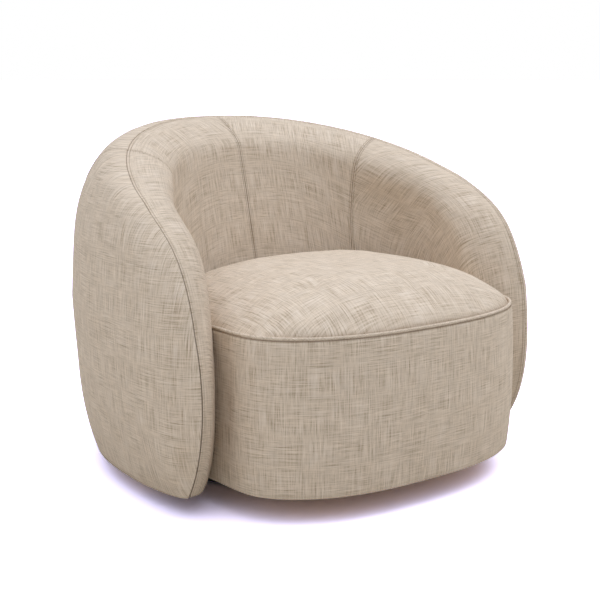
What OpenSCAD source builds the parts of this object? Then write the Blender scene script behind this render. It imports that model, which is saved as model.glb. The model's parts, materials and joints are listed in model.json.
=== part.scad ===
// Swivel barrel chair: a fabric covered barrel shell on a turning base.
// The chair faces -Y, the swivel axis is the Z axis and the floor is at zero.

/* [Overall] */
// Width of the shell at its widest
body_w = 920; // [800:10:960]
// Depth from the front of the seat to the back of the shell
body_d = 891; // [850:1:960]
// Height to the seam on top of the back
chair_h = 690; // [640:5:760]
// Height of the lower edge of the shell above the floor
skirt_z = 42; // [36:1:44]

/* [Shell] */
// Reach of the barrel from its middle to its back
barrel_back = 536; // [510:2:560]
// Reach of the barrel from its middle to the arm fronts, if it were closed
barrel_front = 480; // [460:5:510]
// Height at which the barrel is widest
belly_z = 344; // [320:4:368]
// How far the top of the barrel leans back
barrel_lean = 37; // [25:1:50]
// How far the outer cover swells out beyond its seam, at the back
back_puff = 20; // [14:1:24]
// How far the outer cover swells out beyond its seam, on the arms
arm_puff = 30; // [22:1:34]
// Width of the rounded edge beside the seam
puff_reach = 70; // [55:5:90]
// Thickness of an arm at its fullest
arm_t = 139; // [132:1:148]
// Depth of the roll over the top of the back
back_roll = 66; // [50:2:80]
// Depth of the roll at the arm fronts
arm_roll = 30; // [24:1:40]

/* [Inside of the shell] */
// Depth from the front of the seat to the inner back
seat_deck_d = 530; // [515:5:545]
// Reach of the rounded inner back
inner_back = 182; // [170:2:200]
// Reach of the inner arms towards the front
inner_front = 300; // [280:5:320]
// How far the inner back leans back over its height
back_rake = 97; // [80:1:110]
// Height at which the inner back starts to lean
rake_z = 300; // [280:5:320]

/* [Seat] */
// Reach of the rounded seat front
seat_front = 281; // [260:1:300]
// Height of the welt round the seat
welt_z = 340; // [325:5:355]
// Height of the crown above the welt
crown_h = 95; // [80:5:105]
// Virtual reach of the crown towards the back
crown_reach = 304; // [290:2:320]
// Diameter of the welt cord in its cover
welt_d = 8; // [6:1:9]
// Thickness of the front band at its hem
band_t = 14; // [10:1:16]
// How far the foot of the band draws in
band_tuck = 9; // [6:1:14]
// How far the padded band swells out between welt and hem
band_puff = 6; // [3:1:8]
// Height of the hem of the band above the floor
hem_z = 47; // [46:1:52]
// Clearance between the seat and the shell
seat_gap = 2; // [1:0.5:4]

/* [Padding] */
// Thickness of the padding inside the arms
arm_pad = 24; // [20:1:26]
// Thickness of the padding on the inner back
back_pad = 48; // [36:1:54]
// Thickness of the padding outside
outer_pad = 16; // [12:1:18]
// Gap between two panels at a seam
seam_gap = 0.4; // [0.2:0.05:0.5]
// Gap between padding and the timber behind it
lining_gap = 0.9; // [0.8:0.1:1.5]
// Clearance of bent timber from the curved padding
timber_gap = 3.4; // [3:0.2:5]
// Height of the lower edge of the inner back pads
tuck_z = 228; // [200:2:240]

/* [Frame] */
// Thickness of the base board
board_t = 18; // [15:1:21]
// Thickness of the bent rails
rail_t = 18; // [15:1:20]
// Height of the bent rails
rail_h = 58; // [45:1:65]
// Thickness of the ribs
rib_t = 18; // [15:1:21]
// Thickness of an elastic back strap
strap_t = 1.5; // [1:0.1:2.5]
// Thickness of the bent front panel
panel_t = 9; // [6:1:12]
// Thickness of the seat ring
ring_t = 22; // [18:1:25]
// Width of the seat ring
ring_w = 62; // [55:1:70]
// Side of a square seat post
post_w = 40; // [32:1:44]
// Height of the underside of the seat ring
ring_z = 222; // [210:2:230]

/* [Springs] */
// Diameter of the spring wire
wire_d = 4; // [3:0.2:4.6]
// Number of springs
spring_count = 5; // [3:1:5]
// Number of bends in a spring
bend_count = 12; // [8:2:14]
// Width of a spring
spring_w = 46; // [40:1:50]
// Distance between two springs
spring_pitch = 84; // [78:1:88]
// Thickness of the felt on the springs
felt_t = 4; // [3:0.5:6]

/* [Base] */
// Diameter of the round plinth
plinth_d = 560; // [480:10:600]
// Thickness of the plinth
plinth_t = 25; // [20:1:26]
// Rounding of the plinth's upper edge
plinth_round = 6; // [3:0.5:8]
// Thickness of a glide pad below the plinth
glide_t = 6; // [5:0.5:7]
// Diameter of a glide pad
glide_d = 38; // [28:1:45]
// Number of glide pads
glide_count = 6; // [4:1:8]

/* [Swivel] */
// Side of the square swivel plates
plate_w = 250; // [230:5:280]
// Thickness of a swivel plate
plate_t = 4; // [3.6:0.2:4.6]
// Diameter of the ring of balls
race_d = 190; // [170:5:205]
// Diameter of a ball
ball_d = 9; // [8:0.25:9.5]
// Number of balls
ball_count = 24; // [16:1:28]
// Depth of a race groove
race_depth = 1.4; // [1:0.1:1.8]
// Thickness of the ball cage
cage_t = 1.6; // [1.2:0.1:2.2]
// Width of the ball cage
cage_w = 18; // [15:1:22]
// Diameter of the pivot bolt
pivot_d = 16; // [12:1:18]
// Running clearance in the swivel
run_gap = 0.25; // [0.2:0.05:0.4]
// Diameter of a plate screw
screw_d = 6; // [5:0.5:8]
// Length of a screw in the plinth
screw_l = 18; // [14:1:19]

/* [Hidden] */

// One overrun serves every cut
over = 1;
// Height of the middle rail as a share of the chair's height
middle_share = 0.478;
// How square the corners of the shell, its inside and the seat are in plan
plan_power = 2.15;
inner_power = 2.31;
seat_power = 3.6;
// How much the barrel draws in at its foot and at its top
foot_share = 0.077;
foot_power = 4.4;
head_share = 0.315;
head_power = 4.56;
taper_share = 0.083;
lean_power = 6.2;
// Share of the swelling that is left at the widest place, and where along the ridge it is full
side_puff_share = 0.8;
full_puff_share = 0.35;
puff_power = 0.75;
// How much the arms open outwards towards the top
flare_share = 0.04;
// The seam along the top and down the arm fronts: angle round the barrel, share of the height
ridge_shares = [[0, 1], [29.3, 1], [71.3, 0.944], [97.2, 0.76], [110.8, 0.635], [115.3, 0.156],
    [106.9, 0]];
// Where the side seams lie along the ridge
seam_share = 0.286;
// How the columns of a panel fan out at the foot
outer_fan_power = 0.64;
inner_fan_power = 0.75;
outer_turn_power = 8;
inner_turn_power = 3;
foot_angle = 106.9;
// Where the padding stops thickening below the ridge
core_share = 0.15;
// Where the arm fronts start to reach down to the hem, and where the outer panels end
front_share = 0.83;
tip_share = 0.988;
// Where the arm frame starts and ends along the ridge, how far down it reaches, and its ribs
arm_frame_share = 0.5;
arm_front_share = 0.95;
arm_foot_share = 0.85;
arm_rib_shares = [0.54, 0.66, 0.78, 0.9];
rib_width_share = rib_t / body_d / 4;
// How much of the space between both faces a pad may fill
fill_share = 0.44;
// Where on the ring the springs start and end
spring_rest_share = 0.6;
spring_end_share = 0.75;
row_power = 1.6;
crown_power = 3.2;
band_turn_power = 6;
// Facets
row_count = 12;
back_cols = 9;
arm_cols = 17;
seat_steps = 24;
rear_steps = 16;
crown_rings = 6;
band_rows = 6;
welt_sides = 6;
frame_rows = 6;
$fn = 64;

// Places that follow from the sizes above
plinth_top = glide_t + plinth_t;
lower_plate_top = plinth_top + plate_t;
ball_z = lower_plate_top - race_depth + ball_d / 2;
upper_plate_z = ball_z + ball_d / 2 - race_depth;
board_z = upper_plate_z + plate_t;
board_top = board_z + board_t;
middle_rail_z = chair_h * middle_share;
ring_top = ring_z + ring_t;
spring_z = ring_top + wire_d / 2;
screw_head_d = screw_d * 1.9;
screw_head_h = screw_d * 0.35;
clip_t = wire_d * 0.3;
clip_l = wire_d * 6;
felt_z = ring_top + wire_d + clip_t + run_gap;
foam_z = felt_z + felt_t;
crown_z = welt_z - welt_d / 2;
half_w = body_w / 2 - arm_puff * side_puff_share;
inner_half = body_w / 2 - arm_t;
seat_half = inner_half - seat_gap;
seat_y = seat_front - body_d / 2;
inner_y = seat_deck_d - inner_back - body_d / 2;
barrel_y = body_d / 2 - max([for (i = [0:40]) back_reach(chair_h * i / 40) + back_puff * i / 40]);
band_back = band_tuck + band_t;

// Barrel surface and the seam that runs along its edge
function spow(v, e) = sign(v) * pow(abs(v), e);
function mix(a, b, t) = a * (1 - t) + b * t;
function unit(v) = v / norm(v);
function above(z) = max(0, (z - belly_z) / (chair_h - belly_z));
function below(z) = max(0, (belly_z - z) / belly_z);
function swell(z) =
    1 - foot_share * pow(below(z), foot_power) - head_share * pow(above(z), head_power)
    - taper_share * above(z);
function lean_at(z) = barrel_lean * pow(z / chair_h, lean_power);
function back_reach(z) = barrel_back * swell(z) + lean_at(z);
function barrel(a, z) =
    let (e = 2 / plan_power, reach = cos(a) > 0 ? barrel_back : barrel_front)
    [half_w * swell(z) * spow(sin(a), e),
     barrel_y + reach * swell(z) * spow(cos(a), e) + lean_at(z),
     z];
function knot(i) = min(1, max(0, (i - 3) / (len(ridge_shares) - 3)));
function ratio(a, b) = b > 0 ? a / b : 0;
function weight(i, k, t) = k == 0
    ? (knot(i) <= t && t < knot(i + 1) ? 1 : 0)
    : ratio(t - knot(i), knot(i + k) - knot(i)) * weight(i, k - 1, t)
      + ratio(knot(i + k + 1) - t, knot(i + k + 1) - knot(i + 1)) * weight(i + 1, k - 1, t);
function total(list, i = 0) = i >= len(list) - 1 ? list[i] : list[i] + total(list, i + 1);
function ridge(s) =
    let (t = min(s, 1 - pow(10, -9)),
         p = total([for (i = [0:len(ridge_shares) - 1]) ridge_shares[i] * weight(i, 3, t)]))
    [p[0], mix(skirt_z, chair_h, p[1])];

// Inner surface of the shell, below the roll
function rise(z) = max(0, (z - rake_z) / (chair_h - rake_z));
function lining(a, z) =
    let (e = 2 / inner_power, reach = cos(a) > 0 ? inner_back : inner_front)
    [inner_half * (1 + flare_share * rise(z)) * (cos(a) > 0 ? spow(sin(a), e) : hug(a)),
     inner_y + reach * spow(cos(a), e) + back_rake * rise(z) * max(0, cos(a)),
     z];
// In front of its middle the lining hugs the rounded seat
function hug(a) =
    let (y = inner_y + inner_front * spow(cos(a), 2 / inner_power), d = min(1, max(0, seat_y - y) / seat_front))
    pow(1 - pow(d, seat_power), 1 / seat_power);
function lining_angle(p) =
    let (x = p[0] / inner_half,
         y = p[1] - inner_y,
         q = y / (y > 0 ? inner_back + back_rake * rise(p[2]) : inner_front))
    atan2(spow(x, inner_power / 2), spow(q, inner_power / 2));

// Points of both faces of the shell, at a share along the seam and a share down the panel
function ease(v, n) = 1 - pow(1 - v, n);
function smooth(t) = let (c = min(1, max(0, t))) c * c * (3 - 2 * c);
function inner_foot(s) =
    mix(mix(tuck_z, board_top + seam_gap, smooth((s - seam_share) / seam_share)),
        skirt_z, smooth((s - front_share) / (tip_share - front_share) * 2));
function barrel_out(a, z) =
    let (n = unit(cross(barrel(a, z + 1) - barrel(a, z - 1), barrel(a + 1, z) - barrel(a - 1, z))))
    [n[0], n[1], max(0, n[2])];
function puff_at(s) = mix(back_puff, arm_puff, min(1, s / full_puff_share));
function outer_at(s, v) =
    let (r = ridge(s),
         a = mix(r[0], foot_angle * pow(s, outer_fan_power), ease(v, outer_turn_power)),
         z = mix(r[1], skirt_z, v),
         p = barrel(a, z),
         d = min(1, norm(p - barrel(r[0], r[1])) / puff_reach))
    p + barrel_out(a, z) * puff_at(s) * (1 - v) * pow(1 - pow(1 - d, 2), puff_power);
function lining_at(s, v) =
    let (r = ridge(s),
         top = lining_angle(barrel(r[0], r[1])),
         foot = foot_angle * pow(s, inner_fan_power),
         low = min(inner_foot(s), r[1]))
    lining(mix(top, foot, ease(v, inner_turn_power)), mix(r[1], low, v));
function inner_at(s, v) =
    let (r = ridge(s),
         p = lining_at(s, v),
         depth = mix(back_roll, arm_roll, s),
         d = min(1, norm(p - lining_at(s, 0)) / depth),
         w = sqrt(1 - pow(1 - d, 2)))
    mix(barrel(r[0], p[2]), p, w);

// A pad reaches from its face towards the core of the shell
function core_at(s, v) = let (c = max(v, core_share)) mix(outer_at(s, c), inner_at(s, c), 0.5);
function sunk(p, s, v, depth) =
    let (c = core_at(s, v),
         q = [c[0], c[1], mix(c[2], p[2], smooth(v / core_share - 1))],
         room = 2 * fill_share * norm(q - p))
    p + unit(q - p) * min(depth, room);
function back_part(s) = 1 - smooth(s / seam_share / 2);
function inner_depth(s) = mix(arm_pad, back_pad, back_part(s));
function inner_sunk(s, v, extra = 0) = sunk(inner_at(s, v), s, v, inner_depth(s) + extra);
function outer_sunk(s, v, extra = 0) = sunk(outer_at(s, v), s, v, outer_pad + extra);

function rows(from, to, n, power = 1) =
    [for (j = [0:n]) mix(from, to, pow(j / n, power))];
function half(list) = [for (p = list) [-p[0], p[1], p[2]]];

// A closed sheet between a face grid and a back grid, both as columns of points
module sheet(face, back, flip = false) {
    n = len(face);
    m = len(face[0]);
    all_points = concat([for (c = face) each c], [for (c = back) each c]);
    b = n * m;
    front_quads = [for (i = [0:n - 2], j = [0:m - 2])
        [i * m + j, (i + 1) * m + j, (i + 1) * m + j + 1, i * m + j + 1]];
    back_quads = [for (q = front_quads) [q[3] + b, q[2] + b, q[1] + b, q[0] + b]];
    rim = concat([for (i = [0:n - 2]) [i * m, (i + 1) * m]],
        [for (j = [0:m - 2]) [(n - 1) * m + j, (n - 1) * m + j + 1]],
        [for (i = [n - 1:-1:1]) [i * m + m - 1, (i - 1) * m + m - 1]],
        [for (j = [m - 1:-1:1]) [j, j - 1]]);
    rim_quads = [for (e = rim) [e[1], e[0], e[0] + b, e[1] + b]];
    quads = concat(front_quads, back_quads, rim_quads);
    triangles = [for (q = quads) each [[q[0], q[1], q[2]], [q[0], q[2], q[3]]]];
    polyhedron(all_points, flip ? [for (t = triangles) [t[2], t[1], t[0]]] : triangles);
}

// A closed tube of rings, each ring a loop of points, with flat ends
module loft(rings) {
    n = len(rings);
    m = len(rings[0]);
    sides = [for (i = [0:n - 2], j = [0:m - 1])
        let (k = (j + 1) % m)
        each [[i * m + j, i * m + k, (i + 1) * m + k], [i * m + j, (i + 1) * m + k, (i + 1) * m + j]]];
    start = [for (j = [1:m - 2]) [0, j + 1, j]];
    end = [for (j = [1:m - 2]) [(n - 1) * m, (n - 1) * m + j, (n - 1) * m + j + 1]];
    polyhedron([for (r = rings) each r], concat(sides, start, end));
}

// Panels of the shell, right side; the left ones are mirrored
gap_share = seam_gap / body_d;
function back_nodes() = rows(0, seam_share - gap_share, back_cols);
function arm_nodes() = rows(seam_share + gap_share, tip_share, arm_cols);
function v_nodes() = rows(seam_gap / chair_h, 1, row_count, row_power);

function off_middle(p) = [max(p[0], seam_gap / 2), p[1], p[2]];

module inner_panel(s_nodes) {
    sheet([for (s = s_nodes) [for (v = v_nodes()) off_middle(inner_at(s, v))]],
        [for (s = s_nodes) [for (v = v_nodes()) off_middle(inner_sunk(s, v))]]);
}

module outer_panel(s_nodes) {
    sheet([for (s = s_nodes) [for (v = v_nodes()) outer_at(s, v)]],
        [for (s = s_nodes) [for (v = v_nodes()) outer_sunk(s, v)]],
        flip = true);
}

module linen() {
    color([0.78, 0.72, 0.64]) children();
}

module inner_back_right() {
    linen() inner_panel(back_nodes());
}

module inner_back_left() {
    mirror([1, 0, 0]) inner_back_right();
}

module inner_arm_right() {
    linen() inner_panel(concat(arm_nodes(), [1]));
}

module inner_arm_left() {
    mirror([1, 0, 0]) inner_arm_right();
}

module outer_arm_right() {
    linen() outer_panel(arm_nodes());
}

module outer_arm_left() {
    mirror([1, 0, 0]) outer_arm_right();
}

// The outer back is one panel, so its columns run from seam to seam
module outer_back() {
    right_face = [for (s = back_nodes()) [for (v = v_nodes()) outer_at(s, v)]];
    right_back = [for (s = back_nodes()) [for (v = v_nodes()) outer_sunk(s, v)]];
    left_face = [for (i = [back_cols:-1:1]) half(right_face[i])];
    left_back = [for (i = [back_cols:-1:1]) half(right_back[i])];
    linen() sheet(concat(left_face, right_face), concat(left_back, right_back), flip = true);
}

// Timber between the pads
function rail_inside(s, v) =
    let (a = outer_sunk(s, v, timber_gap), b = inner_sunk(s, v, timber_gap / 2), room = norm(b - a))
    mix(a, b, min(room, rail_t) / room);

rail_high_share = 0.2;
rail_low_share = 0.3;

module top_rail_right() {
    rail_nodes = concat([for (s = back_nodes()) if (s > rib_shares[0]) s], arm_nodes());
    color([0.76, 0.6, 0.4]) loft([for (s = rail_nodes) if (s < rail_end_share) [
        outer_sunk(s, rail_high_share, timber_gap), outer_sunk(s, rail_low_share, timber_gap),
        rail_inside(s, rail_low_share), rail_inside(s, rail_high_share)]]);
}

module top_rail_left() {
    mirror([1, 0, 0]) top_rail_right();
}
rail_end_share = 0.6;

// Inside each arm a bent panel backs the inner pad, and ribs join it to the outer pad
function arm_frame_rows() = rows(rail_low_share + rail_t / chair_h, arm_foot_share, frame_rows);

module arm_frame_right() {
    s_nodes = [for (s = arm_nodes()) if (s > arm_frame_share && s < arm_front_share) s];
    color([0.8, 0.66, 0.46]) sheet(
        [for (s = s_nodes) [for (v = arm_frame_rows()) inner_sunk(s, v, lining_gap)]],
        [for (s = s_nodes) [for (v = arm_frame_rows()) inner_sunk(s, v, lining_gap + panel_t)]]);
}

module arm_frame_left() {
    mirror([1, 0, 0]) arm_frame_right();
}

function arm_rib_side(s) = [
    [for (v = arm_frame_rows()) outer_sunk(s, v, lining_gap)],
    [for (v = arm_frame_rows()) inner_sunk(s, v, lining_gap + panel_t + run_gap)]];

module arm_ribs_right() {
    color([0.74, 0.58, 0.38]) for (s = arm_rib_shares)
        sheet(arm_rib_side(s - rib_width_share), arm_rib_side(s + rib_width_share));
}

module arm_ribs_left() {
    mirror([1, 0, 0]) arm_ribs_right();
}

// Bent rails follow the inside of the outer panels at one height
function share_down(s, z) = (ridge(s)[1] - z) / (ridge(s)[1] - skirt_z);
function rail_point(s, z, depth) =
    inward(outer_sunk(s, share_down(s, z), timber_gap), depth);
function inward(p, depth) = p + depth * unit([-p[0], inner_y - p[1], 0]);

module bent_rail(z, height, end_share) {
    right = [for (s = concat(back_nodes(), arm_nodes())) if (s < end_share)
        [rail_point(s, z, 0), rail_point(s, z, rail_t), rail_point(s, z + height, rail_t),
            rail_point(s, z + height, 0)]];
    left = [for (i = [len(right) - 1:-1:1]) half(right[i])];
    loft(concat(left, right));
}

module lower_rail() {
    color([0.76, 0.6, 0.4]) bent_rail(board_top, rail_h, lower_end_share);
}

module middle_rail() {
    color([0.76, 0.6, 0.4]) bent_rail(middle_rail_z, rail_h, middle_end_share);
}
lower_end_share = 0.48;
middle_end_share = 0.46;

// Swivel parts
module disc(d, h) {
    cylinder(d = d, h = h, $fn = 96);
}

module plinth() {
    r = plinth_d / 2;
    color([0.06, 0.06, 0.07]) difference() {
        translate([0, 0, glide_t]) rotate_extrude($fn = 128) union() {
            square([r - plinth_round, plinth_t]);
            square([r, plinth_t - plinth_round]);
            translate([r - plinth_round, plinth_t - plinth_round]) circle(plinth_round);
        }
        for (p = plate_holes()) translate([p[0], p[1], plinth_top - screw_l])
            cylinder(d = screw_d, h = screw_l + over);
        translate([0, 0, plinth_top - pivot_head_t]) disc(pivot_head_d + 2 * run_gap, pivot_head_t + over);
    }
}

module floor_glides() {
    place_r = plinth_d / 2 - glide_d;
    color([0.15, 0.15, 0.15]) for (i = [0:glide_count - 1])
        rotate(360 * i / glide_count) translate([place_r, 0, 0]) cylinder(d = glide_d, h = glide_t);
}
pivot_head_t = pivot_d / 2;
pivot_head_d = pivot_d * 1.8;
washer_t = pivot_d * 0.15;
nut_t = pivot_d * 0.6;
nut_d = pivot_d * 1.7;
hole_place = plate_w / 2 - screw_d * 2.5;
function plate_holes() = [for (x = [-1, 1], y = [-1, 1]) [x * hole_place, y * hole_place]];
function board_holes() = [for (a = [0:3]) [cos(90 * a), sin(90 * a)] * hole_place];

module race(z) {
    translate([0, 0, z]) rotate_extrude($fn = 96) translate([race_d / 2, 0]) circle(d = ball_d + run_gap);
}

module plate(z) {
    corner = screw_d * 2;
    translate([0, 0, z]) linear_extrude(plate_t) hull()
        for (x = [-1, 1], y = [-1, 1])
            translate([x, y] * (plate_w / 2 - corner)) circle(corner, $fn = 32);
}

module lower_swivel_plate() {
    color([0.55, 0.56, 0.58]) difference() {
        plate(plinth_top);
        race(ball_z);
        for (p = plate_holes()) translate([p[0], p[1], plinth_top - over])
            cylinder(d = screw_d, h = plate_t + 2 * over);
        translate([0, 0, plinth_top - over]) cylinder(d = pivot_d, h = plate_t + 2 * over);
    }
}

module upper_swivel_plate() {
    color([0.55, 0.56, 0.58]) difference() {
        plate(upper_plate_z);
        race(ball_z);
        for (p = board_holes()) translate([p[0], p[1], upper_plate_z - over])
            cylinder(d = screw_d, h = plate_t + 2 * over);
        translate([0, 0, upper_plate_z - over]) cylinder(d = pivot_d + 2 * run_gap, h = plate_t + 2 * over);
    }
}

module lower_plate_screws() {
    color([0.75, 0.75, 0.76]) for (p = plate_holes()) translate([p[0], p[1], 0]) {
        translate([0, 0, plinth_top - screw_l]) cylinder(d = screw_d, h = screw_l + plate_t);
        translate([0, 0, lower_plate_top]) cylinder(d1 = screw_head_d, d2 = screw_d, h = screw_head_h);
    }
}

module pivot_bolt() {
    shank = board_z + washer_t + nut_t + pivot_d / 4 - plinth_top;
    color([0.6, 0.6, 0.62]) union() {
        translate([0, 0, plinth_top - pivot_head_t]) cylinder(d = pivot_head_d, h = pivot_head_t);
        translate([0, 0, plinth_top]) cylinder(d = pivot_d, h = shank);
    }
}

module pivot_washer() {
    color([0.7, 0.7, 0.72]) translate([0, 0, board_z + run_gap]) difference() {
        cylinder(d = nut_d * 1.5, h = washer_t);
        translate([0, 0, -over]) cylinder(d = pivot_d, h = washer_t + 2 * over);
    }
}

module pivot_nut() {
    color([0.7, 0.7, 0.72]) translate([0, 0, board_z + run_gap + washer_t]) difference() {
        cylinder(d = nut_d, h = nut_t, $fn = 6);
        translate([0, 0, -over]) cylinder(d = pivot_d, h = nut_t + 2 * over);
    }
}

module ball_cage() {
    color([0.8, 0.78, 0.7]) difference() {
        translate([0, 0, ball_z - cage_t / 2]) disc(race_d + cage_w, cage_t);
        translate([0, 0, ball_z - cage_t]) disc(race_d - cage_w, 2 * cage_t);
        for (i = [0:ball_count - 1]) rotate(360 * i / ball_count)
            translate([race_d / 2, 0, ball_z - cage_t]) cylinder(d = ball_d + 2 * run_gap, h = 2 * cage_t);
    }
}

module bearing_balls() {
    color([0.85, 0.85, 0.87]) for (i = [0:ball_count - 1])
        rotate(360 * i / ball_count) translate([race_d / 2, 0, ball_z]) sphere(d = ball_d);
}

module upper_plate_bolts() {
    color([0.75, 0.75, 0.76]) for (p = board_holes()) translate([p[0], p[1], 0]) {
        translate([0, 0, upper_plate_z]) cylinder(d = screw_d, h = plate_t + board_t);
        translate([0, 0, upper_plate_z - screw_head_h])
            cylinder(d1 = screw_d, d2 = screw_head_d, h = screw_head_h);
    }
}

// Plan of the seat, drawn in by an inset; it rounds the front and follows the inner back
function seat_curve(inset) = [for (i = [-seat_steps:seat_steps])
    let (a = 90 * i / seat_steps, e = 2 / seat_power)
    [(seat_half - inset) * spow(sin(a), e), seat_y - (seat_front - inset) * spow(cos(a), e)]];
function rear_curve(inset) = [for (i = [0:rear_steps])
    let (a = 90 - 180 * i / rear_steps, e = 2 / inner_power)
    [(seat_half - inset) * spow(sin(a), e), inner_y + (inner_back - seat_gap - inset) * spow(cos(a), e)]];
function seat_plan(inset) = concat(seat_curve(inset), rear_curve(inset));

module seat_slab(inset, z, height) {
    translate([0, 0, z]) linear_extrude(height) polygon(seat_plan(inset));
}

// The board spreads out below the shell and narrows to the seat in front of the arms
board_steps = 30;
function board_outline() =
    let (side = [for (i = [0:board_steps])
            let (a = board_angle * (1 - 2 * i / board_steps), p = barrel(a, board_z),
                 q = unit([p[0], p[1] - barrel_y]))
            [p[0], p[1]] - q * (outer_pad + rail_t / 2)],
         front = seat_curve(band_back + lining_gap),
         x = seat_half - band_back - lining_gap)
    concat([[-x, inner_y]], front, [[x, inner_y]], side);
board_angle = 88;

module base_board() {
    color([0.82, 0.7, 0.5]) difference() {
        translate([0, 0, board_z]) linear_extrude(board_t) polygon(board_outline());
        translate([0, 0, board_z - over]) cylinder(d = nut_d * 2, h = board_t + 2 * over);
        for (p = board_holes()) translate([p[0], p[1], board_z - over])
            cylinder(d = screw_d, h = board_t + 2 * over);
    }
}

module front_panel() {
    outer_line = seat_curve(band_back + lining_gap);
    inner_line = seat_curve(band_back + lining_gap + panel_t);
    n = len(outer_line);
    outline = concat(outer_line, [for (i = [n - 1:-1:0]) inner_line[i]]);
    color([0.8, 0.66, 0.46]) translate([0, 0, board_top]) linear_extrude(ring_z - board_top)
        polygon(outline);
}
ring_inset = band_back + lining_gap;

module seat_ring() {
    color([0.8, 0.66, 0.46]) difference() {
        seat_slab(ring_inset, ring_z, ring_t);
        translate([0, 0, ring_z - over]) linear_extrude(ring_t + 2 * over)
            polygon(seat_plan(ring_inset + ring_w));
    }
}
post_inset = ring_inset + panel_t + post_w / 2 + lining_gap;

module seat_posts() {
    side_x = seat_half - post_inset;
    back_y = inner_y + inner_back / 2;
    places = [[side_x, seat_y], [-side_x, seat_y], [side_x / 2, back_y + inner_back / 4],
        [-side_x / 2, back_y + inner_back / 4], [0, seat_y - seat_front + post_inset]];
    color([0.74, 0.58, 0.38]) for (p = places)
        translate([p[0] - post_w / 2, p[1] - post_w / 2, board_top]) cube([post_w, post_w, ring_z - board_top]);
}

// Zigzag springs: straight legs across, joined by half turns
spring_l = spring_end_y() - spring_start_y();
function spring_start_y() = seat_y - seat_front + ring_inset + ring_w * spring_rest_share;
function spring_end_y() = inner_y + inner_back - seat_gap - ring_inset - ring_w * spring_end_share;
bend_r = floor(spring_l / bend_count * 5) / 10;
leg = spring_w - 2 * bend_r - wire_d;

module zigzag() {
    for (i = [0:bend_count - 1]) {
        side = i % 2 == 0 ? 1 : -1;
        translate([side * leg / 2, (2 * i + 1) * bend_r, 0])
            rotate([0, 0, side > 0 ? -90 : 90]) rotate_extrude(angle = 180, $fn = 14)
                translate([bend_r, 0]) circle(d = wire_d, $fn = 14);
    }
    for (i = [0:bend_count])
        translate([-leg / 2, 2 * i * bend_r, 0]) rotate([0, 90, 0]) cylinder(d = wire_d, h = leg, $fn = 14);
}

module seat_springs() {
    color([0.3, 0.3, 0.32]) for (i = [0:spring_count - 1])
        translate([(i - (spring_count - 1) / 2) * spring_pitch, spring_start_y(), spring_z]) zigzag();
}

// Metal clips bent over the first and last leg of each spring
module clip() {
    reach = wire_d / 2 + run_gap;
    difference() {
        translate([-leg / 4, -clip_l / 2, -wire_d / 2]) cube([leg / 2, clip_l, wire_d + clip_t]);
        rotate([0, 90, 0]) cylinder(r = reach, h = leg, center = true);
        translate([-leg / 2, -reach, -wire_d]) cube([leg, 2 * reach, wire_d]);
    }
}

module spring_clips() {
    color([0.6, 0.6, 0.62]) for (i = [0:spring_count - 1], y = [0, 2 * bend_r * bend_count])
        translate([(i - (spring_count - 1) / 2) * spring_pitch, spring_start_y() + y, spring_z]) clip();
}

module spring_felt() {
    color([0.35, 0.34, 0.33]) seat_slab(ring_inset, felt_z, felt_t);
}

module seat_foam() {
    color([0.93, 0.9, 0.8]) seat_slab(ring_inset, foam_z, crown_z - run_gap - foam_z);
}

// Crown of the seat: highest over the middle, falling to the welt at the front and sides
function crown_rise(p) =
    let (reach = p[1] < seat_y ? seat_front : crown_reach,
         r = pow(pow(abs(p[0]) / seat_half, seat_power) + pow(abs(p[1] - seat_y) / reach, seat_power),
             1 / seat_power))
    crown_h * (1 - pow(min(1, r), crown_power));

module seat_crown() {
    edge = seat_plan(welt_d);
    n = len(edge);
    middle = [0, seat_y];
    top_rings = [for (k = [1:crown_rings], p = edge)
        let (q = mix(middle, p, k / crown_rings))
        [q[0], q[1], welt_z + crown_rise(q)]];
    foot_ring = [for (p = edge) [p[0], p[1], crown_z]];
    points = concat([[middle[0], middle[1], welt_z + crown_h]], top_rings, foot_ring,
        [[middle[0], middle[1], crown_z]]);
    last = len(points) - 1;
    cap = [for (j = [0:n - 1]) [0, 1 + (j + 1) % n, 1 + j]];
    belt = [for (k = [0:crown_rings - 1], j = [0:n - 1])
        let (a = 1 + k * n + j, b = 1 + k * n + (j + 1) % n)
        each [[a, b, b + n], [a, b + n, a + n]]];
    floor_face = [for (j = [0:n - 1]) [last, last - n + j, last - n + (j + 1) % n]];
    linen() polyhedron(points, concat(cap, belt, floor_face));
}

// The band covers the front and the sides of the seat
// The band draws in towards its hem, and swells out where it stands clear of the arms
function band_point(i, z) =
    let (t = (welt_z - z) / (welt_z - hem_z),
         clear = smooth((outer_at(tip_share, 0)[1] - side_run(0)[i][1]) / arm_roll))
    side_run(band_tuck * pow(t, band_turn_power) - band_puff * clear * 4 * t * (1 - t))[i];
function side_run(inset) =
    let (c = seat_curve(inset), x = seat_half - inset, back = inner_y - band_t)
    concat([[-x, back]], c, [[x, back]]);

module seat_band() {
    top = crown_z - run_gap;
    heights = rows(top, hem_z, band_rows);
    outer_cols = [for (i = [0:2 * seat_steps + 2])
        [for (z = heights) let (p = band_point(i, z)) [p[0], p[1], z]]];
    inner_cols = [for (i = [0:2 * seat_steps + 2])
        [for (z = heights) let (p = side_run(band_back)[i]) [p[0], p[1], z]]];
    linen() sheet(outer_cols, inner_cols);
}

// Welt cord in its cover, laid on the joint between crown and band
module seat_welt() {
    line = side_run(welt_d / 2);
    n = len(line) - 1;
    rings = [for (i = [0:n])
        let (d = unit(line[min(n, i + 1)] - line[max(0, i - 1)]), out = [d[1], -d[0]])
        [for (j = [0:welt_sides - 1])
            let (a = 360 * j / welt_sides, r = welt_d / 2 - run_gap)
            [line[i][0] + out[0] * r * cos(a), line[i][1] + out[1] * r * cos(a), welt_z + r * sin(a)]]];
    linen() loft(rings);
}

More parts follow.
